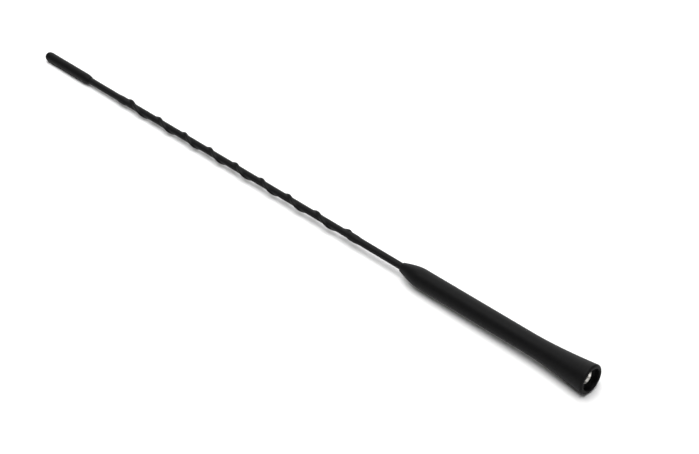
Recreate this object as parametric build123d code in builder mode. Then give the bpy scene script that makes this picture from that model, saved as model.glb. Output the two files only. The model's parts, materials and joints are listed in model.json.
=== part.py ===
from build123d import *
import os
from math import acos, atan2, cos, degrees, radians, sin

# Car mast aerial, lying on a flat floor as it comes to rest: foot towards +X, tip towards -X.
# Lengths are millimetres. A station is a distance along the mast from the end of its foot.

# Whole mast
overall_length = 400.0
fit = 0.05  # clearance round each piece that sits in a bore
edge_flats = 4  # narrow flats that round an edge, such as the foot's
blend_flats = 1  # flats that ease a gentle bend of an outline

# Grip: flared foot, straight barrel, conical nose
grip_length = 120.6
foot_diameter = 16.2  # across the sharp edge, before it is rounded
foot_edge_reach = 1.3  # of the rounding, to each side of that edge
flare_length = 28.0  # end of the foot to the corner where flare meets barrel
flare_blend = 10.0  # reach of the blend to each side of that corner
barrel_diameter = 10.4
nose_length = 9.2
nose_blend = 3.4  # reach of the blend to each side of the corner where barrel meets nose
nose_lip = 0.82  # wall round the sleeve at the end of the nose

# Recess in the foot
rim_width = 2.2  # recess wall to the sharp edge of the foot
mouth_chamfer = 0.4
recess_depth = 2.8

# Threaded insert, its face at the bottom of the recess
insert_length = 32.0
flange_diameter = 8.6
flange_thickness = 2.0
hexagon_sides = 6
hexagon_rise = 0.5  # flats of the hexagon above the shank
hexagon_length = 9.0
shank_wall = 1.65  # round the rod's socket
groove_offset = 6.0  # hexagon to the ring groove that anchors the insert in the moulding
groove_width = 2.0
groove_depth = 0.6
tapping_diameter = 4.2  # drilled for an M5 thread
tapping_depth = 11.0
tapping_chamfer = 0.5
insert_web = 3.0  # solid between the tapped hole and the rod's socket

# Whip rod
rod_diameter = 2.6

# Wind-noise spiral: a strand wound right-handed round the rod
strand_diameter = 0.7
strand_sides = 4  # of its section
spiral_pitch = 20.6
spiral_start_angle = 15.0  # of the lower end round the mast, from straight up

# Sleeve
sleeve_wall = 0.4
lower_plain_length = 29.4  # bare sleeve between the grip and the lower collar
upper_plain_length = 23.5  # bare sleeve between the upper collar and the cap
crown_flats = 3  # over the top of the ridge
ridge_runout = 3.0  # where the ridge sinks to the collar beyond each end of the strand
collar_length = 6.0
collar_rise = 0.35
collar_chamfer = 0.2
sleeve_in_grip = 10.0
sleeve_in_cap = 8.0

# Tip cap
cap_length = 38.5
cap_wall = 1.0  # round the sleeve
cap_lip = 0.35  # the same wall where it thins at the mouth
cap_tip_flat = 1.6  # across the end of the tip, inside its rounded edge
cap_shoulder_length = 4.0
cap_crown = 8.0  # solid end beyond the rod

# Stations along the mast
barrel_end = grip_length - nose_length
insert_end = recess_depth + insert_length
rod_start = recess_depth + tapping_depth + insert_web
rod_end = overall_length - cap_crown
cap_start = overall_length - cap_length
sleeve_start = grip_length - sleeve_in_grip
sleeve_end = cap_start + sleeve_in_cap
ridge_start = grip_length + lower_plain_length + collar_length
ridge_end = cap_start - upper_plain_length - collar_length
strand_start = ridge_start + ridge_runout
strand_end = ridge_end - ridge_runout

# Radii
foot_radius = foot_diameter / 2
barrel_radius = barrel_diameter / 2
mouth_radius = foot_radius - rim_width
tapping_radius = tapping_diameter / 2
rod_radius = rod_diameter / 2
bore_radius = rod_radius + fit
sleeve_radius = bore_radius + sleeve_wall
sleeve_seat_radius = sleeve_radius + fit  # of the bores that hold the sleeve's ends
collar_radius = sleeve_radius + collar_rise
cap_radius = sleeve_seat_radius + cap_wall
strand_radius = strand_diameter / 2
strand_centre = bore_radius + strand_radius
channel_half_width = strand_radius + fit
crown_radius = channel_half_width + sleeve_wall  # round top of the ridge, seen along the mast
crest_radius = strand_centre + crown_radius


def rounded(before, corner, after, reach, flats):
    """Points that round a corner of an outline with flats, starting a given reach from it."""
    corner = Vector(corner)
    back = (Vector(before) - corner).normalized()
    onward = (Vector(after) - corner).normalized()
    half_corner = radians(back.get_angle(onward)) / 2
    centre = corner + (back + onward).normalized() * (reach / cos(half_corner))
    spoke = corner + back * reach - centre
    turn = (-back).get_signed_angle(onward, Plane.XY.z_dir)
    spokes = [spoke.rotate(Axis.Z, turn * flat / flats) for flat in range(flats + 1)]
    return [tuple(centre + spoke)[:2] for spoke in spokes]


# Outline of the grip, as (station, radius) corners
foot_centre = (0, 0)
foot_corner = (0, foot_radius)
flare_corner = (flare_length, barrel_radius)
nose_corner = (barrel_end, barrel_radius)
nose_edge = (grip_length, sleeve_seat_radius + nose_lip)
foot_edge = rounded(foot_centre, foot_corner, flare_corner, foot_edge_reach, edge_flats)
flare_bend = rounded(foot_corner, flare_corner, nose_corner, flare_blend, blend_flats)
nose_bend = rounded(flare_corner, nose_corner, nose_edge, nose_blend, blend_flats)

# Outline of the cap
cap_mouth = (cap_start, sleeve_seat_radius + cap_lip)
cap_shoulder = (cap_start + cap_shoulder_length, cap_radius)
tip_corner = (overall_length, cap_radius)
tip_centre = (overall_length, 0)
tip_reach = cap_radius - cap_tip_flat / 2
tip_edge = rounded(cap_shoulder, tip_corner, tip_centre, tip_reach, edge_flats)

# Lie of the mast: the floor touches the widest ring of the foot and the start of the tip's rounding
foot_touch = max(foot_edge, key=lambda point: point[1])
tip_touch = tip_edge[0]
lie_angle = atan2(foot_touch[1] - tip_touch[1], tip_touch[0] - foot_touch[0])
foot_height = foot_touch[0] * sin(lie_angle) + foot_touch[1] * cos(lie_angle)

# Plane through the mast: its X runs up the mast from the foot, its Y is the radius
mast_plane = Plane(
    origin=(overall_length * cos(lie_angle) / 2, 0, foot_height),
    x_dir=(-cos(lie_angle), 0, -sin(lie_angle)),
    z_dir=(0, 1, 0),
)
mast_axis = Axis(mast_plane.origin, mast_plane.x_dir)
# The same plane with its Y down, so that each turned piece has its seam underneath
seam_plane = Plane(mast_plane.origin, x_dir=mast_plane.x_dir, z_dir=-mast_plane.z_dir)


def cross_plane(station, angle=0.0):
    """Plane square across the mast, facing the tip, its X turned from straight up by an angle."""
    origin = mast_plane.from_local_coords((station, 0))
    return Plane(origin, x_dir=mast_plane.y_dir.rotate(mast_axis, angle), z_dir=mast_plane.x_dir)


def turned(*corners, mode=Mode.ADD):
    """Turn an outline of (station, radius) corners about the mast, closed along the axis."""
    start = (corners[0][0], 0)
    end = (corners[-1][0], 0)
    with BuildSketch(seam_plane) as outline:
        with BuildLine():
            Polyline(start, *corners, end, close=True)
        make_face()
    revolve(outline.sketch, axis=mast_axis, mode=mode)


def wound(*corners, start, end, mode=Mode.ADD):
    """Carry a section of (radius, sideways) corners up the mast, turning with the spiral."""
    angle = spiral_start_angle + 360 * (start - strand_start) / spiral_pitch
    with BuildLine() as path:
        Line(cross_plane(start).origin, cross_plane(end).origin)
    with BuildLine() as guide:
        Helix(spiral_pitch, end - start, strand_centre, path.line @ 0, mast_plane.x_dir)
    with BuildSketch(cross_plane(start, angle)) as section:
        with BuildLine():
            Polyline(*corners, close=True)
        make_face()
    sweep(section.sketch, path=path.line, binormal=guide.edge(), mode=mode)


def insert_outside(clearance, mode=Mode.ADD):
    """Flange, hexagon and grooved shank of the insert, grown by a clearance."""
    flange_end = recess_depth + flange_thickness + clearance
    hexagon_end = recess_depth + flange_thickness + hexagon_length
    shank_radius = bore_radius + shank_wall + clearance
    groove_start = hexagon_end + groove_offset + clearance
    groove_end = hexagon_end + groove_offset + groove_width - clearance
    turned(
        (recess_depth, flange_diameter / 2 + clearance),
        (flange_end, flange_diameter / 2 + clearance),
        (flange_end, shank_radius),
        (groove_start, shank_radius),
        (groove_start, shank_radius - groove_depth),
        (groove_end, shank_radius - groove_depth),
        (groove_end, shank_radius),
        (insert_end + clearance, shank_radius),
        mode=mode,
    )
    with BuildSketch(cross_plane(recess_depth)) as hexagon:
        RegularPolygon(shank_radius + hexagon_rise, hexagon_sides, major_radius=False)
    extrude(hexagon.sketch, amount=hexagon_end + clearance - recess_depth, mode=mode)


# Stiff metal rod, from the insert's socket to the bore of the cap
with BuildPart() as whip_rod:
    turned((rod_start, rod_radius), (rod_end, rod_radius))

# Strand wound round the rod, with a flat-sided section
with BuildPart() as wind_noise_spiral:
    side_angles = [radians(360 * side / strand_sides) for side in range(strand_sides)]
    strand_corners = [
        (strand_centre + strand_radius * cos(side), strand_radius * sin(side))
        for side in side_angles
    ]
    wound(*strand_corners, start=strand_start, end=strand_end)

# Thin sleeve drawn tight over rod and strand, so the strand shows as a spiral ridge
with BuildPart() as sleeve:
    turned((ridge_start, sleeve_radius), (ridge_end, sleeve_radius))
    # Ridge: flanks leave a circle inside the sleeve's wall and meet the strand's round cover
    flank_root_radius = (bore_radius + sleeve_radius) / 2
    flank_lean = acos((flank_root_radius - crown_radius) / strand_centre)
    flank_root = (flank_root_radius * cos(flank_lean), flank_root_radius * sin(flank_lean))
    crown_angles = [flank_lean * (1 - 2 * side / crown_flats) for side in range(crown_flats + 1)]
    crown_corners = [
        (strand_centre + crown_radius * cos(side), crown_radius * sin(side))
        for side in crown_angles
    ]
    wound(
        flank_root,
        *crown_corners,
        (flank_root[0], -flank_root[1]),
        start=ridge_start,
        end=ridge_end,
    )
    # Both ends of the ridge sink below the surface of the collars
    runout_radius = collar_radius - collar_chamfer
    turned(
        (ridge_start, runout_radius),
        (strand_start, crest_radius),
        (strand_end, crest_radius),
        (ridge_end, runout_radius),
        mode=Mode.INTERSECT,
    )
    # Collars and the plain runs into the grip and the cap
    turned(
        (sleeve_start, sleeve_radius),
        (ridge_start - collar_length, sleeve_radius),
        (ridge_start - collar_length + collar_rise, collar_radius),
        (ridge_start - collar_chamfer, collar_radius),
        (ridge_start, runout_radius),
    )
    turned(
        (ridge_end, runout_radius),
        (ridge_end + collar_chamfer, collar_radius),
        (ridge_end + collar_length - collar_rise, collar_radius),
        (ridge_end + collar_length, sleeve_radius),
        (sleeve_end, sleeve_radius),
    )
    # Channel for the strand, then the bore for the rod
    channel_top = strand_centre + channel_half_width
    wound(
        (0, channel_half_width),
        (channel_top, channel_half_width),
        (channel_top, -channel_half_width),
        (0, -channel_half_width),
        start=strand_start - fit,
        end=strand_end + fit,
        mode=Mode.SUBTRACT,
    )
    turned((sleeve_start, bore_radius), (sleeve_end, bore_radius), mode=Mode.SUBTRACT)

# Moulded cap with a rounded tip and a shoulder that narrows to the sleeve
with BuildPart() as tip_cap:
    turned(cap_mouth, cap_shoulder, *tip_edge)
    turned(
        (cap_start, sleeve_seat_radius),
        (sleeve_end, sleeve_seat_radius),
        (sleeve_end, bore_radius),
        (rod_end, bore_radius),
        mode=Mode.SUBTRACT,
    )

# Moulded grip, bored for the sleeve, the rod and the insert
with BuildPart() as grip:
    turned(*foot_edge, *flare_bend, *nose_bend, nose_edge)
    turned(
        (0, mouth_radius + mouth_chamfer),
        (mouth_chamfer, mouth_radius),
        (recess_depth, mouth_radius),
        mode=Mode.SUBTRACT,
    )
    insert_outside(fit, mode=Mode.SUBTRACT)
    turned((insert_end, bore_radius), (sleeve_start, bore_radius), mode=Mode.SUBTRACT)
    turned(
        (sleeve_start, sleeve_seat_radius),
        (grip_length, sleeve_seat_radius),
        mode=Mode.SUBTRACT,
    )

# Turned insert with the tapped hole in its face and the rod's socket at its other end
with BuildPart() as threaded_insert:
    insert_outside(0)
    turned(
        (recess_depth, tapping_radius + tapping_chamfer),
        (recess_depth + tapping_chamfer, tapping_radius),
        (recess_depth + tapping_depth, tapping_radius),
        mode=Mode.SUBTRACT,
    )
    turned((rod_start, bore_radius), (insert_end, bore_radius), mode=Mode.SUBTRACT)

pieces = {
    "whip_rod": whip_rod,
    "wind_noise_spiral": wind_noise_spiral,
    "sleeve": sleeve,
    "tip_cap": tip_cap,
    "grip": grip,
    "threaded_insert": threaded_insert,
}
os.makedirs("parts", exist_ok=True)
for name, piece in pieces.items():
    piece.part.label = name
    export_step(piece.part, f"parts/{name}.step")

print(f"lies at {degrees(lie_angle):.3f} degrees, foot centre {foot_height:.3f} mm up")
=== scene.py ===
import json
from math import cos, pi, radians, sin, tan

import bmesh
import bpy
import numpy as np
from bpy.props import FloatProperty, FloatVectorProperty, IntProperty, PointerProperty
from bpy.types import Operator, Panel, PropertyGroup
from mathutils import Matrix, Vector


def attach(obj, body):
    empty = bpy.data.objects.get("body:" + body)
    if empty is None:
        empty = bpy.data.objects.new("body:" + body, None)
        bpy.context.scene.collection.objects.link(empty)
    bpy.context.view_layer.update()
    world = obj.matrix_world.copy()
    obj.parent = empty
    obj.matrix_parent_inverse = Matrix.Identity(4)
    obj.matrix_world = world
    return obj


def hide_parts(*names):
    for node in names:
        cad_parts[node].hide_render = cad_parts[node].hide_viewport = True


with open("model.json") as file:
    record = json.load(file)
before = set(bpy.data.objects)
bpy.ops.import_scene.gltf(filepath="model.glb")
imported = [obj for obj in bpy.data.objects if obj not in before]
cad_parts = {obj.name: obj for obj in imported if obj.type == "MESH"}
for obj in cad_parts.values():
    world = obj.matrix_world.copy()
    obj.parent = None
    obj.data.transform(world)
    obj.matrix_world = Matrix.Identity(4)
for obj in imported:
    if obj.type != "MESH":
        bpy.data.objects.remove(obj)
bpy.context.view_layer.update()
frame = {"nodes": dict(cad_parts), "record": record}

# Car mast aerial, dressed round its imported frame. Lengths are metres in the frame's own axes.
# A station is a distance along the mast from the end of its foot. A turn is an angle round the mast
# from straight up, right-handed towards the tip. Outlines are (station, radius) points.

bl_info = {
    "name": "Car Mast Aerial",
    "version": (1, 0, 0),
    "blender": (4, 5, 0),
    "location": "View3D > Sidebar > Mast Aerial",
    "description": "Builds a screw-on car radio mast round its frame, with a stage to show it on",
    "category": "Object",
}

MM = 0.001
ARC_HANDLE = 0.5523  # share of the way to its corner at which a round bend has its handle
SHARP_ANGLE = radians(38)  # an edge that turns by more stays crisp
HEXAGON_SIDES = 6
THREAD_HALF_ANGLE = radians(30)  # between a flank of the thread and a plane square to the mast
THREAD_FLAT = 1 / 8  # flat at the bottom of the thread's groove, as a share of the pitch
THREAD_RUNOUT = 1 / 2  # how steeply the groove grows shallow at the end of the hole
STRETCH_POWER = 5  # of the turns from its middle, with which the winding's length grows
WAVE_RATE = 20  # radians that the wave texture passes in a unit of length, at a scale of 1
WINDING_ROUNDS = 20  # of the search for the turn at a station
HALVINGS = 40  # of the range that a radius is searched in

# Points and steps of the meshes
COLUMNS = 120  # round a turned piece, a multiple of the hexagon's sides
COLUMN_TURNS = np.arange(COLUMNS) * 2 * pi / COLUMNS
BEND_STEPS = 6  # of a bend that isn't given its own
EDGE_STEPS = 3  # round each edge of the chamfer at the recess's mouth
LIP_STEPS = 4  # round the end of the nose and the mouth of the cap
FOOT_STEPS = 14
FLARE_STEPS = 36
BARREL_STEPS = 12
NOSE_STEPS = 28
SHOULDER_STEPS = 16
TIP_STEPS = 21
WALL_RING_STEPS = 10  # to each ring of the recess's wall
THREAD_STEPS = 14  # to each pitch of the thread
STRAND_RINGS = 420
STRAND_COLUMNS = 14
PLAIN_RINGS = 12  # along each plain end of the sleeve
RIDGE_RINGS = 380  # along the ridge and its collars
SLEEVE_COLUMNS = 96

# The mast's own line, from the frame's mounts
mounts = {mount["name"]: mount for mount in frame["record"]["mounts"]}
thread_middle = Vector(mounts["mast_thread"]["pos_m"])
foot_way = Vector(mounts["mast_thread"]["axis"]).normalized()
rim_point = Vector(mounts["foot_rim"]["pos_m"])
foot_centre = thread_middle + foot_way * (rim_point - thread_middle).dot(foot_way)
up_mast = -foot_way
side = Vector((0, 1, 0))
above = side.cross(up_mast)
mast = Matrix((up_mast, above, side)).transposed().to_4x4()
mast.translation = foot_centre


def reach(node):
    """First station, last station and widest radius of a node of the frame."""
    points = np.array([vertex.co for vertex in frame["nodes"][node].data.vertices])
    local = (points - np.array(foot_centre)) @ np.array(mast.to_3x3())
    return local[:, 0].min(), local[:, 0].max(), np.hypot(local[:, 1], local[:, 2]).max()


def slot_colour(slot):
    """Base colour of a material slot of the record."""
    return next(row["base_color"] for row in frame["record"]["materials"] if row["slot"] == slot)


# Stations and radii that the frame gives
_, grip_end, _ = reach("grip")
insert_face, insert_end, flange_radius = reach("threaded_insert")
rod_start, rod_end, rod_radius = reach("whip_rod")
sleeve_start, sleeve_end, _ = reach("sleeve")
strand_start, strand_end, strand_top = reach("wind_noise_spiral")
cap_start, mast_end, cap_radius = reach("tip_cap")
tapping_radius = mounts["mast_thread"]["dims"]["r_mm"] * MM
tapping_length = mounts["mast_thread"]["dims"]["length_mm"] * MM
tapping_end = (foot_centre - thread_middle).dot(foot_way) + tapping_length / 2


def length(name, millimetres, description):
    """A length that a user can change."""
    return FloatProperty(
        name=name,
        description=description,
        default=millimetres * MM,
        min=0.0,
        precision=5,
        subtype="DISTANCE",
        unit="LENGTH",
    )


def angle(name, degrees, description):
    """An angle that a user can change."""
    return FloatProperty(
        name=name,
        description=description,
        default=radians(degrees),
        subtype="ANGLE",
        unit="ROTATION",
    )


def colour(name, default, description):
    """A colour that a user can change."""
    return FloatVectorProperty(
        name=name,
        description=description,
        default=default,
        size=3,
        min=0.0,
        max=1.0,
        subtype="COLOR",
    )


def share(name, default, description):
    """A share between 0 and 1 that a user can change."""
    return FloatProperty(
        name=name,
        description=description,
        default=default,
        min=0.0,
        max=1.0,
        subtype="FACTOR",
    )


def power(name, watts, description):
    """Power of a light that a user can change."""
    return FloatProperty(name=name, description=description, default=watts, min=0.0, unit="POWER")


def sides(name, millimetres, description):
    """Width and height of a light that a user can change."""
    return FloatVectorProperty(
        name=name,
        description=description,
        default=[extent * MM for extent in millimetres],
        size=2,
        min=0.0,
        unit="LENGTH",
    )


def place(name, millimetres, description):
    """A point on the stage that a user can change."""
    return FloatVectorProperty(
        name=name,
        description=description,
        default=[coordinate * MM for coordinate in millimetres],
        size=3,
        subtype="XYZ",
        unit="LENGTH",
    )


class GripSettings(PropertyGroup):
    """Sizes and colour of the moulded grip"""

    foot_diameter: length("Foot", 16.2, "Diameter across the sharp edge of the foot")
    foot_round: length("Foot round", 1.3, "Reach of the rounding of the foot's edge")
    rim_width: length("Rim", 2.2, "Recess wall to the sharp edge of the foot")
    mouth_chamfer: length("Mouth chamfer", 0.4, "Chamfer at the mouth of the recess")
    wall_rings: IntProperty(
        name="Wall rings",
        description="Shallow rings moulded round the wall of the recess",
        default=3,
        min=1,
    )
    ring_depth: length("Ring depth", 0.14, "Depth of the rings round the recess wall")
    flare_length: length("Flare", 40.0, "End of the foot to the end of the flare's curve")
    flare_slope: share("Flare slope", 0.118, "Narrowing of the flare for its length, at the foot")
    barrel_diameter: length("Barrel", 10.5, "Diameter of the barrel where the flare ends")
    barrel_end_diameter: length("Barrel end", 10.34, "Diameter of the barrel where the nose starts")
    nose_length: length("Nose", 13.0, "Start of the nose's curve to the end of the grip")
    nose_slope: share("Nose slope", 0.3, "Narrowing of the nose for its length, at its end")
    nose_lip: length("Nose lip", 0.75, "Wall round the sleeve at the end of the nose")
    colour: colour("Colour", (0.0055, 0.0055, 0.0057), "Colour of the grip and the cap")


class InsertSettings(PropertyGroup):
    """Sizes and colour of the threaded insert"""

    flange_thickness: length("Flange", 2.0, "Thickness of the flange at the insert's face")
    hexagon_length: length("Hexagon", 9.0, "Length of the hexagon that keeps it from turning")
    hexagon_rise: length("Hexagon rise", 0.5, "Flats of the hexagon above the shank")
    shank_wall: length("Shank wall", 1.65, "Wall round the rod's socket")
    groove_offset: length("Groove offset", 6.0, "Hexagon to the groove that anchors the insert")
    groove_width: length("Groove width", 2.0, "Width of the anchoring groove")
    groove_depth: length("Groove depth", 0.6, "Depth of the anchoring groove")
    edge_chamfer: length("Edge chamfer", 1.0, "Chamfer of the flange's edge, which the grip laps over")
    thread_diameter: length("Thread", 5.0, "Outer diameter of the thread that it takes")
    thread_pitch: length("Thread pitch", 0.8, "Pitch of the thread")
    countersink: length("Countersink", 0.8, "Countersink where the stud enters")
    drill_point: angle("Drill point", 118.0, "Angle of the drilled end of the hole")
    colour: colour("Colour", slot_colour("plated_brass"), "Colour of the plating")


class SpiralSettings(PropertyGroup):
    """Sizes and colour of the strand that makes the ridge"""

    strand_diameter: length("Strand", 0.7, "Diameter of the round strand")
    middle_station: length("Middle", 243.2, "Foot to the middle of the winding")
    middle_turn: angle("Middle turn", 48.7, "Where the strand stands there, from straight up")
    pitch: length("Pitch", 20.05, "Pitch in the middle of the winding")
    end_stretch: length(
        "End stretch", 0.0041, "Growth of the winding's length with the fifth power of its turns"
    )
    end_lift: length("End lift", 0.16, "How far the strand's last turn stands off the rod")
    end_lift_length: length("Lifted length", 9.0, "Length over which the last turn lifts")
    colour: colour("Colour", slot_colour("strand_nylon"), "Colour of the strand")


class SleeveSettings(PropertyGroup):
    """Sizes and colour of the shrunk sleeve"""

    wall: length("Wall", 0.47, "Wall of the sleeve")
    fit: length("Fit", 0.05, "Clearance round the rod and the strand")
    runout: length("Run-out", 3.0, "Where the ridge sinks beyond each end of the strand")
    flank_blend: length("Flank blend", 0.6, "Hollow blend at the foot of the ridge")
    end_swell: length("End swell", 0.2, "Thicker cover on the first and the last turn of the ridge")
    end_swell_length: length("Swollen length", 9.0, "Length over which the cover thickens")
    collar_length: length("Collar", 6.5, "Length of the raised collar at each end of the ridge")
    collar_rise: length("Collar rise", 0.38, "Height of the collars")
    collar_taper: length("Collar taper", 4.0, "Length over which a collar rises from the plain sleeve")
    collar_ease: length("Collar ease", 3.0, "Length over which a collar falls away under the ridge")
    colour: colour("Colour", (0.008, 0.008, 0.0083), "Colour of the sleeve")


class CapSettings(PropertyGroup):
    """Sizes of the tip cap"""

    lip: length("Lip", 0.28, "Wall round the sleeve at the mouth of the cap")
    shoulder_length: length("Shoulder", 4.8, "Length over which the cap widens")
    shoulder_slope: share("Shoulder slope", 0.3, "Widening of the shoulder at its start")
    tip_length: length("Tip", 3.4, "Length of the rounded tip")
    tip_fullness: FloatProperty(
        name="Tip fullness",
        description="2 gives an elliptical tip, and more gives a blunter one",
        default=2.5,
        min=2.0,
    )


class RodSettings(PropertyGroup):
    """Colour of the whip rod"""

    colour: colour("Colour", slot_colour("rod_steel"), "Colour of the drawn steel")


class StageSettings(PropertyGroup):
    """Floor, light and camera"""

    floor_size: length("Floor", 30000.0, "Side of the square floor")
    floor_colour: colour("Floor colour", (0.86, 0.86, 0.86), "Colour of the pale floor")
    sky_strength: FloatProperty(
        name="Sky", description="Strength of the even light all round", default=0.07, min=0.0
    )
    softbox_power: power("Softbox", 238.0, "Power of the softbox above the mast")
    softbox_place: place("Softbox place", (-250.0, -465.0, 3900.0), "Middle of the softbox")
    softbox_size: sides("Softbox size", (3600.0, 3600.0), "Sides of the softbox")
    screen_power: power("Screen", 162.0, "Power of the lit screen behind the mast")
    screen_place: place("Screen place", (-2580.0, 3270.0, 2400.0), "Middle of the screen")
    screen_size: sides("Screen size", (4800.0, 4800.0), "Sides of the screen")
    strip_power: power("Strip", 26.0, "Power of the lit strip that faces the foot's recess")
    strip_place: place("Strip place", (3815.0, 509.0, 1918.0), "Middle of the strip")
    strip_size: sides("Strip size", (6000.0, 1500.0), "Sides of the strip")
    camera_azimuth: angle("Azimuth", 44.03, "Direction that the camera stands in, round the mast")
    camera_elevation: angle("Elevation", 38.99, "Height of the camera above the horizon")
    camera_distance: length("Distance", 1047.8, "Camera to the frame's origin, before its offsets")
    camera_right: FloatProperty(
        name="Right",
        description="Sideways offset of the camera",
        default=30.5 * MM,
        unit="LENGTH",
        subtype="DISTANCE",
    )
    camera_up: FloatProperty(
        name="Up",
        description="Upward offset of the camera",
        default=-9.6 * MM,
        unit="LENGTH",
        subtype="DISTANCE",
    )
    lens: FloatProperty(
        name="Lens", description="Focal length", default=103.0, min=1.0, unit="CAMERA"
    )


class MastSettings(PropertyGroup):
    """All settings of the mast aerial"""

    grip: PointerProperty(type=GripSettings)
    insert: PointerProperty(type=InsertSettings)
    spiral: PointerProperty(type=SpiralSettings)
    sleeve: PointerProperty(type=SleeveSettings)
    cap: PointerProperty(type=CapSettings)
    rod: PointerProperty(type=RodSettings)
    stage: PointerProperty(type=StageSettings)


# Outlines


def bend(start, corner, end, steps=BEND_STEPS):
    """Round stretch of an outline from start to end, both heading for the corner."""
    start, corner, end = np.array(start), np.array(corner), np.array(end)
    leave = start + (corner - start) * ARC_HANDLE
    arrive = end + (corner - end) * ARC_HANDLE
    way = np.linspace(0, 1, steps + 1)[:, None]
    back = 1 - way
    points = (
        back**3 * start
        + 3 * back**2 * way * leave
        + 3 * back * way**2 * arrive
        + way**3 * end
    )
    return [tuple(point) for point in points]


def eased(start, start_slope, end, end_slope, steps):
    """Smooth stretch of an outline between two points, with its slopes there."""
    way = np.linspace(0, 1, steps + 1)
    span = end[0] - start[0]
    radii = (
        (2 * way**3 - 3 * way**2 + 1) * start[1]
        + (way**3 - 2 * way**2 + way) * span * start_slope
        + (3 * way**2 - 2 * way**3) * end[1]
        + (way**3 - way**2) * span * end_slope
    )
    return list(zip(start[0] + span * way, radii))


def smooth_step(value):
    """0 below 0, 1 above 1, and an S-curve between."""
    value = np.clip(value, 0, 1)
    return value * value * (3 - 2 * value)


def hexagon(flat_radius):
    """Radius round a hexagon at each column of a turned piece, with a corner straight up."""
    corner = 2 * pi / HEXAGON_SIDES
    return flat_radius / np.cos(COLUMN_TURNS % corner - corner / 2)


# Meshes


def ring(station, radius, turns=COLUMN_TURNS):
    """Points round the mast at a station, in mast coordinates."""
    radius = np.broadcast_to(radius, turns.shape)
    stations = np.broadcast_to(station, turns.shape)
    return np.stack((stations, radius * np.cos(turns), radius * np.sin(turns)), axis=1)


def turned(outline):
    """Rings of a turned piece."""
    return [ring(station, radius) for station, radius in outline]


def pole(station):
    """Ring of one point, on the mast's axis, which shuts a piece."""
    return np.array([[station, 0.0, 0.0]])


def skin(name, rings):
    """Closed mesh piece over rings of points: its ends are poles, or else meet each other."""
    form = bmesh.new()
    rows = [[form.verts.new(mast @ Vector(point)) for point in points] for points in rings]
    if len(rows[0]) > 1:
        rows.append(rows[0])
    for row, onward in zip(rows, rows[1:]):
        count = max(len(row), len(onward))
        for column in range(count):
            following = (column + 1) % count
            corners = [row[column % len(row)], row[following % len(row)]]
            corners += [onward[following % len(onward)], onward[column % len(onward)]]
            form.faces.new(dict.fromkeys(corners))
    bmesh.ops.recalc_face_normals(form, faces=form.faces)
    if not all(edge.is_manifold for edge in form.edges):
        raise RuntimeError(f"the mesh of {name} isn't closed")
    mesh = bpy.data.meshes.new(name)
    form.to_mesh(mesh)
    form.free()
    mesh.shade_smooth()
    mesh.set_sharp_from_angle(angle=SHARP_ANGLE)
    piece = bpy.data.objects.new(name, mesh)
    bpy.context.scene.collection.objects.link(piece)
    return piece


def fit_to_frame(piece, node, finish):
    """Give a piece its finish and put it in the place of a node of the frame."""
    piece.data.materials.append(finish)
    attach(piece, "root")
    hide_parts(node)


# Finishes


def new_finish(name):
    """Empty finish: its material, node tree and shader."""
    material = bpy.data.materials.new(name)
    material.use_nodes = True
    tree = material.node_tree
    return material, tree, tree.nodes["Principled BSDF"]


def mast_coordinates(tree, stretch=(1.0, 1.0, 1.0)):
    """Coordinates with X along the mast from its foot, stretched along each axis."""
    source = tree.nodes.new("ShaderNodeTexCoord")
    mapping = tree.nodes.new("ShaderNodeMapping")
    mapping.vector_type = "TEXTURE"
    mapping.inputs["Location"].default_value = foot_centre
    mapping.inputs["Rotation"].default_value = mast.to_euler()
    mapping.inputs["Scale"].default_value = stretch
    tree.links.new(source.outputs["Object"], mapping.inputs["Vector"])
    return mapping.outputs["Vector"]


def noise(tree, coordinates, grain, detail=3.0):
    """Noise whose spots are about a grain across."""
    node = tree.nodes.new("ShaderNodeTexNoise")
    node.inputs["Scale"].default_value = 1 / grain
    node.inputs["Detail"].default_value = detail
    tree.links.new(coordinates, node.inputs["Vector"])
    return node.outputs["Fac"]


def lathe_marks(tree, coordinates, spacing):
    """Fine rings round the mast's axis, as a cutting tool leaves them."""
    node = tree.nodes.new("ShaderNodeTexWave")
    node.wave_type = "RINGS"
    node.rings_direction = "X"
    node.inputs["Scale"].default_value = 2 * pi / (WAVE_RATE * spacing)
    node.inputs["Distortion"].default_value = 1.5
    node.inputs["Detail"].default_value = 2.0
    tree.links.new(coordinates, node.inputs["Vector"])
    return node.outputs["Fac"]


def vary_colour(tree, shader, factor, base, spread):
    """Let the colour wander about its base."""
    ramp = tree.nodes.new("ShaderNodeValToRGB")
    for element, level in zip(ramp.color_ramp.elements, (1 - spread, 1 + spread)):
        element.color = (*(channel * level for channel in base), 1.0)
    tree.links.new(factor, ramp.inputs["Fac"])
    tree.links.new(ramp.outputs["Color"], shader.inputs["Base Color"])


def vary_roughness(tree, shader, factor, low, high):
    """Let the roughness wander between two values."""
    spread = tree.nodes.new("ShaderNodeMapRange")
    spread.inputs["To Min"].default_value = low
    spread.inputs["To Max"].default_value = high
    tree.links.new(factor, spread.inputs["Value"])
    tree.links.new(spread.outputs["Result"], shader.inputs["Roughness"])


def emboss(tree, shader, height, depth, strength):
    """Raise a fine relief on the surface."""
    bump = tree.nodes.new("ShaderNodeBump")
    bump.inputs["Distance"].default_value = depth
    bump.inputs["Strength"].default_value = strength
    tree.links.new(height, bump.inputs["Height"])
    tree.links.new(bump.outputs["Normal"], shader.inputs["Normal"])


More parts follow.
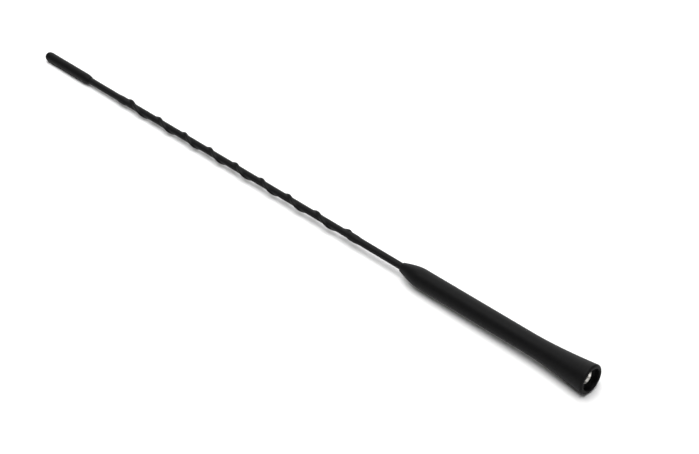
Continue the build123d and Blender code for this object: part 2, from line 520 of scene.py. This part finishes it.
def moulded_black(name, base):
    """Soft black moulding with a fine spark-eroded grain."""
    material, tree, shader = new_finish(name)
    surface = mast_coordinates(tree)
    mottle = noise(tree, surface, grain=2.2 * MM, detail=4.0)
    sheen = noise(tree, surface, grain=0.9 * MM, detail=4.0)
    relief = noise(tree, surface, grain=0.22 * MM, detail=2.0)
    vary_colour(tree, shader, mottle, base, spread=0.22)
    vary_roughness(tree, shader, sheen, low=0.42, high=0.52)
    emboss(tree, shader, relief, depth=0.03 * MM, strength=0.5)
    shader.inputs["Specular IOR Level"].default_value = 0.06
    return material


def shrunk_black(base):
    """Thin sleeve drawn tight, a little smoother than the mouldings, with faint lengthwise lines."""
    material, tree, shader = new_finish("shrunk_sleeve_black")
    surface = mast_coordinates(tree)
    lines = mast_coordinates(tree, stretch=(14.0, 1.0, 1.0))
    mottle = noise(tree, surface, grain=1.6 * MM, detail=4.0)
    sheen = noise(tree, lines, grain=0.5 * MM)
    relief = noise(tree, lines, grain=0.25 * MM, detail=2.0)
    vary_colour(tree, shader, mottle, base, spread=0.2)
    vary_roughness(tree, shader, sheen, low=0.38, high=0.48)
    emboss(tree, shader, relief, depth=0.02 * MM, strength=0.35)
    shader.inputs["Specular IOR Level"].default_value = 0.06
    return material


def nickel_plate(base):
    """Turned brass under bright nickel plate, with tool marks round its axis."""
    material, tree, shader = new_finish("turned_nickel_plate")
    surface = mast_coordinates(tree)
    mottle = noise(tree, surface, grain=1.2 * MM)
    sheen = noise(tree, surface, grain=0.5 * MM)
    marks = lathe_marks(tree, surface, spacing=0.12 * MM)
    vary_colour(tree, shader, mottle, base, spread=0.08)
    vary_roughness(tree, shader, sheen, low=0.24, high=0.36)
    emboss(tree, shader, marks, depth=0.01 * MM, strength=0.2)
    shader.inputs["Metallic"].default_value = 1.0
    return material


def drawn_nylon(base):
    """Pale nylon strand, slightly cloudy."""
    material, tree, shader = new_finish("drawn_nylon")
    surface = mast_coordinates(tree)
    clouds = noise(tree, surface, grain=0.8 * MM)
    sheen = noise(tree, surface, grain=0.3 * MM)
    relief = noise(tree, surface, grain=0.15 * MM, detail=2.0)
    vary_colour(tree, shader, clouds, base, spread=0.1)
    vary_roughness(tree, shader, sheen, low=0.34, high=0.46)
    emboss(tree, shader, relief, depth=0.01 * MM, strength=0.3)
    shader.inputs["Subsurface Weight"].default_value = 0.15
    shader.inputs["Subsurface Scale"].default_value = 0.3 * MM
    return material


def drawn_steel(base):
    """Bright steel rod with lengthwise drawing lines."""
    material, tree, shader = new_finish("drawn_steel")
    lines = mast_coordinates(tree, stretch=(60.0, 1.0, 1.0))
    streaks = noise(tree, lines, grain=0.4 * MM)
    sheen = noise(tree, lines, grain=0.2 * MM, detail=4.0)
    relief = noise(tree, lines, grain=0.12 * MM, detail=2.0)
    vary_colour(tree, shader, streaks, base, spread=0.12)
    vary_roughness(tree, shader, sheen, low=0.22, high=0.38)
    emboss(tree, shader, relief, depth=0.008 * MM, strength=0.4)
    shader.inputs["Metallic"].default_value = 1.0
    return material


def pale_floor(base):
    """Smooth pale board with a very faint mottle."""
    material, tree, shader = new_finish("pale_floor")
    surface = mast_coordinates(tree)
    mottle = noise(tree, surface, grain=60 * MM)
    sheen = noise(tree, surface, grain=8 * MM)
    vary_colour(tree, shader, mottle, base, spread=0.012)
    vary_roughness(tree, shader, sheen, low=0.8, high=0.9)
    shader.inputs["Specular IOR Level"].default_value = 0.15
    return material


# Pieces


def seats(sleeve):
    """Radii of the rod's bore and of the bores that hold the sleeve's ends."""
    bore = rod_radius + sleeve.fit
    return bore, bore + sleeve.wall + sleeve.fit


def insert_outside(sizes, bore_radius, clearance):
    """Outline of the insert's hexagon and grooved shank, from its flange on, grown by a clearance."""
    shank = bore_radius + sizes.shank_wall + clearance
    flats = hexagon(shank + sizes.hexagon_rise)
    flange_end = insert_face + sizes.flange_thickness + clearance
    hexagon_end = insert_face + sizes.flange_thickness + sizes.hexagon_length + clearance
    groove_start = hexagon_end + sizes.groove_offset
    groove_end = groove_start + sizes.groove_width - 2 * clearance
    return [
        (flange_end, flats),
        (hexagon_end, flats),
        (hexagon_end, shank),
        (groove_start, shank),
        (groove_start, shank - sizes.groove_depth),
        (groove_end, shank - sizes.groove_depth),
        (groove_end, shank),
        (insert_end + clearance, shank),
    ]


def grip_outline(settings):
    """Closed outline of the grip, from the bottom of its recess round to the insert's pocket."""
    sizes, fit = settings.grip, settings.sleeve.fit
    bore, seat = seats(settings.sleeve)
    pocket = flange_radius + fit
    foot = sizes.foot_diameter / 2
    mouth = foot - sizes.rim_width
    chamfer = sizes.mouth_chamfer
    rim = mouth + chamfer  # where the chamfer meets the end of the foot
    edge = chamfer / 4  # small round at each end of the chamfer
    flare_start = (sizes.foot_round, foot - sizes.foot_round * sizes.flare_slope)
    flare_end = (sizes.flare_length, sizes.barrel_diameter / 2)
    nose_start = (grip_end - sizes.nose_length, sizes.barrel_end_diameter / 2)
    nose_end = (grip_end - edge, seat + sizes.nose_lip)
    taper = (nose_start[1] - flare_end[1]) / (nose_start[0] - flare_end[0])
    wall_steps = WALL_RING_STEPS * sizes.wall_rings
    wall = np.linspace(insert_face - chamfer, chamfer + edge, wall_steps + 1)
    waves = np.linspace(0, 2 * pi * sizes.wall_rings, len(wall))
    return [
        (insert_face, pocket - settings.insert.edge_chamfer),
        *bend((insert_face, mouth - chamfer), (insert_face, mouth), (wall[0], mouth)),
        *zip(wall[1:-1], mouth + sizes.ring_depth * (1 - np.cos(waves[1:-1])) / 2),
        *bend((chamfer + edge, mouth), (chamfer, mouth), (chamfer - edge, mouth + edge), EDGE_STEPS),
        *bend((edge, rim - edge), (0, rim), (0, rim + edge), EDGE_STEPS),
        *bend((0, foot - sizes.foot_round), (0, foot), flare_start, FOOT_STEPS),
        *eased(flare_start, -sizes.flare_slope, flare_end, taper, FLARE_STEPS)[1:],
        *eased(flare_end, taper, nose_start, taper, BARREL_STEPS)[1:],
        *eased(nose_start, taper, nose_end, -sizes.nose_slope, NOSE_STEPS)[1:],
        *bend(nose_end, (grip_end, nose_end[1]), (grip_end, nose_end[1] - edge), LIP_STEPS)[1:],
        (grip_end, seat),
        (sleeve_start, seat),
        (sleeve_start, bore),
        (insert_end + fit, bore),
        *reversed(insert_outside(settings.insert, bore, fit)),
        (insert_face + settings.insert.flange_thickness + fit, pocket),
        (insert_face + settings.insert.edge_chamfer, pocket),
    ]


def thread_radius(station, sizes):
    """Radius of the tapped hole at each column, with a 60 degree right-hand thread."""
    pitch = sizes.thread_pitch
    root = sizes.thread_diameter / 2
    phase = (station / pitch - COLUMN_TURNS / (2 * pi)) % 1
    from_groove = np.abs(phase - 0.5) * pitch
    groove = root - (from_groove - THREAD_FLAT * pitch / 2) / tan(THREAD_HALF_ANGLE)
    runout = tapping_radius + (tapping_end - station) * THREAD_RUNOUT
    groove = np.clip(groove, tapping_radius, min(root, runout))
    entry = tapping_radius + sizes.countersink - (station - insert_face)
    return np.maximum(groove, entry)


def insert_rings(settings):
    """Rings of the insert, from the drilled end of its hole, round its outside, into its socket."""
    sizes = settings.insert
    bore, _ = seats(settings.sleeve)
    edge = sizes.edge_chamfer
    flange_end = insert_face + sizes.flange_thickness
    steps = round((tapping_end - insert_face) / (sizes.thread_pitch / THREAD_STEPS))
    thread = [
        (station, thread_radius(station, sizes))
        for station in np.linspace(tapping_end, insert_face, steps)
    ]
    outline = [
        *thread,
        (insert_face, flange_radius - edge),
        (insert_face + edge, flange_radius),
        (flange_end, flange_radius),
        *insert_outside(sizes, bore, 0),
        (insert_end, bore),
        (rod_start, bore),
    ]
    drill_depth = tapping_radius / tan(sizes.drill_point / 2)
    return [pole(tapping_end + drill_depth), *turned(outline), pole(rod_start)]


def winding(stations, spiral):
    """Turn of the strand at each station, held still beyond its ends."""
    offset = np.clip(stations, strand_start, strand_end) - spiral.middle_station
    turns = offset / spiral.pitch
    for _ in range(WINDING_ROUNDS):
        error = spiral.pitch * turns + spiral.end_stretch * turns**STRETCH_POWER - offset
        lead = spiral.pitch + STRETCH_POWER * spiral.end_stretch * turns ** (STRETCH_POWER - 1)
        turns = turns - error / lead
    return spiral.middle_turn + 2 * pi * turns


def strand_centre(stations, spiral):
    """Distance of the strand's centre from the mast's axis: its last turn lifts a little."""
    lifted = smooth_step((stations - strand_end + spiral.end_lift_length) / spiral.end_lift_length)
    return strand_top - spiral.strand_diameter / 2 + spiral.end_lift * lifted


def strand_rings(settings):
    """Rings of the strand's round section along its winding."""
    spiral = settings.spiral
    radius = spiral.strand_diameter / 2
    dome = radius / 4  # rise of each shut end
    stations = np.linspace(strand_start + dome, strand_end - dome, STRAND_RINGS)
    turns = winding(stations, spiral)
    centre = strand_centre(stations, spiral)
    outward = np.stack((np.zeros_like(turns), np.cos(turns), np.sin(turns)), axis=1)
    path = outward * centre[:, None]
    path[:, 0] = stations
    heading = np.gradient(path, axis=0)
    heading /= np.linalg.norm(heading, axis=1)[:, None]
    outward -= heading * np.sum(outward * heading, axis=1)[:, None]
    outward /= np.linalg.norm(outward, axis=1)[:, None]
    across = np.cross(heading, outward)
    section = np.arange(STRAND_COLUMNS) * 2 * pi / STRAND_COLUMNS
    rings = [
        point + radius * (np.outer(np.cos(section), out) + np.outer(np.sin(section), over))
        for point, out, over in zip(path, outward, across)
    ]
    first = path[:1] - heading[:1] * dome
    last = path[-1:] + heading[-1:] * dome
    return [first, *rings, last]


def covered_radius(tube, centre, crown, offsets, blend):
    """Radius of a tube with a round ridge on it, at angles from the ridge, blended at its foot."""
    low = np.zeros(np.broadcast_shapes(np.shape(tube), np.shape(centre), np.shape(offsets)))
    high = low + tube + centre + crown
    for _ in range(HALVINGS):
        middle = (low + high) / 2
        past_tube = middle - tube
        past_crown = np.sqrt(middle**2 + centre**2 - 2 * middle * centre * np.cos(offsets)) - crown
        closeness = np.maximum(blend - np.abs(past_tube - past_crown), 0)
        inside = np.minimum(past_tube, past_crown) < closeness**2 / (4 * blend)
        low = np.where(inside, middle, low)
        high = np.where(inside, high, middle)
    return (low + high) / 2


def ridge_span(sizes):
    """First and last station of the ridge, past the ends of the strand."""
    return strand_start - sizes.runout, strand_end + sizes.runout


def collar_height(stations, sizes):
    """Rise of the two collars, which taper to the plain sleeve and fall away under the ridge."""
    height = np.zeros_like(stations)
    ridge_start, ridge_end = ridge_span(sizes)
    for beyond in (ridge_start - stations, stations - ridge_end):
        rise = smooth_step((sizes.collar_length - beyond) / sizes.collar_taper)
        height += sizes.collar_rise * rise * smooth_step(beyond / sizes.collar_ease + 1)
    return height


def sleeve_rings(settings):
    """Rings of the sleeve, up its ridged outside and back down its bore, turning with the ridge."""
    sizes, spiral = settings.sleeve, settings.spiral
    bore, _ = seats(sizes)
    tube = bore + sizes.wall
    channel = spiral.strand_diameter / 2 + sizes.fit
    lead_angle = np.arctan2(spiral.pitch, 2 * pi * (strand_top - spiral.strand_diameter / 2))
    offsets = np.linspace(-pi, pi, SLEEVE_COLUMNS, endpoint=False)
    ridge_start, ridge_end = ridge_span(sizes)
    bound_start = ridge_start - sizes.collar_length
    bound_end = ridge_end + sizes.collar_length
    stations = np.concatenate((
        np.linspace(sleeve_start, bound_start, PLAIN_RINGS, endpoint=False),
        np.linspace(bound_start, bound_end, RIDGE_RINGS, endpoint=False),
        np.linspace(bound_end, sleeve_end, PLAIN_RINGS),
    ))
    risen = smooth_step((stations - ridge_start) / sizes.runout)
    risen *= smooth_step((ridge_end - stations) / sizes.runout)
    from_end = np.minimum(stations - strand_start, strand_end - stations)
    swollen = smooth_step(1 - from_end / sizes.end_swell_length)
    crown = channel + sizes.wall + sizes.end_swell * swollen
    outer_centre = tube - crown + (strand_centre(stations, spiral) - tube + crown) * risen
    held = (stations > strand_start - sizes.fit) & (stations < strand_end + sizes.fit)
    inner_centre = np.where(held, strand_centre(stations, spiral), bore - channel)
    outside = covered_radius(
        (tube + collar_height(stations, sizes))[:, None],
        outer_centre[:, None],
        crown[:, None],
        offsets * sin(lead_angle),
        sizes.flank_blend,
    )
    inside = covered_radius(
        bore, inner_centre[:, None], channel, offsets * sin(lead_angle), sizes.fit
    )
    columns = offsets + winding(stations, spiral)[:, None]
    rings = [ring(*row) for row in zip(stations, outside, columns)]
    rings += [ring(*row) for row in zip(stations[::-1], inside[::-1], columns[::-1])]
    return rings


def cap_rings(settings):
    """Rings of the cap, from its rounded tip down its outside and up its bore."""
    sizes = settings.cap
    bore, seat = seats(settings.sleeve)
    lip = sizes.lip / 3  # round at the mouth's edge
    mouth = (cap_start + lip, seat + sizes.lip)
    shoulder = (cap_start + sizes.shoulder_length, cap_radius)
    exponent = 2 / sizes.tip_fullness
    sweep = np.linspace(pi / 2, 0, TIP_STEPS + 1)[1:]
    tip = zip(
        mast_end - sizes.tip_length * (1 - np.sin(sweep) ** exponent),
        cap_radius * np.cos(sweep) ** exponent,
    )
    outline = [
        *tip,
        *eased(mouth, sizes.shoulder_slope, shoulder, 0.0, SHOULDER_STEPS)[::-1],
        *bend(mouth, (cap_start, mouth[1]), (cap_start, mouth[1] - lip), LIP_STEPS)[1:],
        (cap_start, seat),
        (sleeve_end, seat),
        (sleeve_end, bore),
        (rod_end, bore),
    ]
    return [pole(mast_end), *turned(outline), pole(rod_end)]


# Operators


class MAST_OT_grip(Operator):
    """Build the moulded grip with its flared foot, recess, barrel and nose"""

    bl_idname = "mast_aerial.grip"
    bl_label = "Build Grip"

    def execute(self, context):
        settings = context.scene.mast_aerial
        piece = skin("grip_moulding", turned(grip_outline(settings)))
        finish = moulded_black("moulded_grip_black", settings.grip.colour)
        fit_to_frame(piece, "grip", finish)
        return {"FINISHED"}


class MAST_OT_insert(Operator):
    """Build the turned insert with its threaded hole"""

    bl_idname = "mast_aerial.insert"
    bl_label = "Build Threaded Insert"

    def execute(self, context):
        settings = context.scene.mast_aerial
        piece = skin("insert_turning", insert_rings(settings))
        fit_to_frame(piece, "threaded_insert", nickel_plate(settings.insert.colour))
        return {"FINISHED"}


class MAST_OT_rod(Operator):
    """Give the whip rod of the frame its drawn steel finish"""

    bl_idname = "mast_aerial.rod"
    bl_label = "Finish Whip Rod"

    def execute(self, context):
        finish = drawn_steel(context.scene.mast_aerial.rod.colour)
        slots = frame["nodes"]["whip_rod"].material_slots
        if not slots:
            raise RuntimeError("the whip rod has no material slot")
        slots[0].material = finish
        return {"FINISHED"}


class MAST_OT_spiral(Operator):
    """Wind the strand that makes the ridge round the whip rod"""

    bl_idname = "mast_aerial.spiral"
    bl_label = "Wind Strand"

    def execute(self, context):
        settings = context.scene.mast_aerial
        piece = skin("wound_strand", strand_rings(settings))
        finish = drawn_nylon(settings.spiral.colour)
        fit_to_frame(piece, "wind_noise_spiral", finish)
        return {"FINISHED"}


class MAST_OT_sleeve(Operator):
    """Build the sleeve with its spiral ridge and collars"""

    bl_idname = "mast_aerial.sleeve"
    bl_label = "Build Sleeve"

    def execute(self, context):
        settings = context.scene.mast_aerial
        piece = skin("shrunk_sleeve", sleeve_rings(settings))
        fit_to_frame(piece, "sleeve", shrunk_black(settings.sleeve.colour))
        return {"FINISHED"}


class MAST_OT_cap(Operator):
    """Build the moulded tip cap"""

    bl_idname = "mast_aerial.cap"
    bl_label = "Build Tip Cap"

    def execute(self, context):
        settings = context.scene.mast_aerial
        piece = skin("cap_moulding", cap_rings(settings))
        finish = moulded_black("moulded_cap_black", settings.grip.colour)
        fit_to_frame(piece, "tip_cap", finish)
        return {"FINISHED"}


class MAST_OT_stage(Operator):
    """Set the pale floor, the soft light and the camera"""

    bl_idname = "mast_aerial.stage"
    bl_label = "Set Stage"

    def execute(self, context):
        settings = context.scene.mast_aerial.stage
        self.lay_floor(context.scene, settings)
        self.hang_lights(context.scene, settings)
        self.place_camera(context.scene, settings)
        return {"FINISHED"}

    def lay_floor(self, scene, settings):
        half = settings.floor_size / 2
        mesh = bpy.data.meshes.new("floor")
        corners = [(-half, -half, 0), (half, -half, 0), (half, half, 0), (-half, half, 0)]
        mesh.from_pydata(corners, [], [(0, 1, 2, 3)])
        mesh.materials.append(pale_floor(settings.floor_colour))
        floor = bpy.data.objects.new("floor", mesh)
        scene.collection.objects.link(floor)

    def hang_lights(self, scene, settings):
        scene.world = bpy.data.worlds.new("soft_sky")
        scene.world.use_nodes = True
        sky = scene.world.node_tree.nodes["Background"]
        sky.inputs["Color"].default_value = (1.0, 1.0, 1.0, 1.0)
        sky.inputs["Strength"].default_value = settings.sky_strength
        for name in ("softbox", "screen", "strip"):
            light = bpy.data.lights.new(name, "AREA")
            light.shape = "RECTANGLE"
            light.size, light.size_y = getattr(settings, f"{name}_size")
            light.energy = getattr(settings, f"{name}_power")
            lamp = bpy.data.objects.new(name, light)
            lamp.location = getattr(settings, f"{name}_place")
            lamp.rotation_euler = lamp.location.to_track_quat("Z", "Y").to_euler()
            scene.collection.objects.link(lamp)
        scene.view_settings.view_transform = "Standard"

    def place_camera(self, scene, settings):
        azimuth, elevation = settings.camera_azimuth, settings.camera_elevation
        back = Vector((sin(azimuth) * cos(elevation), -cos(azimuth) * cos(elevation), sin(elevation)))
        right = Vector((cos(azimuth), sin(azimuth), 0))
        up = back.cross(right)
        camera = bpy.data.objects.new("camera", bpy.data.cameras.new("camera"))
        camera.data.lens = settings.lens
        camera.matrix_world = Matrix((right, up, back)).transposed().to_4x4()
        camera.location = (
            back * settings.camera_distance
            + right * settings.camera_right
            + up * settings.camera_up
        )
        scene.collection.objects.link(camera)
        scene.camera = camera


OPERATORS = {
    "grip": MAST_OT_grip,
    "insert": MAST_OT_insert,
    "rod": MAST_OT_rod,
    "spiral": MAST_OT_spiral,
    "sleeve": MAST_OT_sleeve,
    "cap": MAST_OT_cap,
    "stage": MAST_OT_stage,
}


class VIEW3D_PT_mast_aerial(Panel):
    """Settings of the mast aerial and the operators that build it"""

    bl_label = "Mast Aerial"
    bl_space_type = "VIEW_3D"
    bl_region_type = "UI"
    bl_category = "Mast Aerial"

    def draw(self, context):
        for name, operator in OPERATORS.items():
            group = getattr(context.scene.mast_aerial, name)
            box = self.layout.box()
            for setting in group.__annotations__:
                box.prop(group, setting)
            box.operator(operator.bl_idname)


CLASSES = (
    GripSettings,
    InsertSettings,
    SpiralSettings,
    SleeveSettings,
    CapSettings,
    RodSettings,
    StageSettings,
    MastSettings,
    *OPERATORS.values(),
    VIEW3D_PT_mast_aerial,
)


def register():
    for entry in CLASSES:
        bpy.utils.register_class(entry)
    bpy.types.Scene.mast_aerial = PointerProperty(type=MastSettings)


def unregister():
    del bpy.types.Scene.mast_aerial
    for entry in reversed(CLASSES):
        bpy.utils.unregister_class(entry)


def main():
    register()
    for name in OPERATORS:
        getattr(bpy.ops.mast_aerial, name)()


if __name__ == "__main__":
    main()
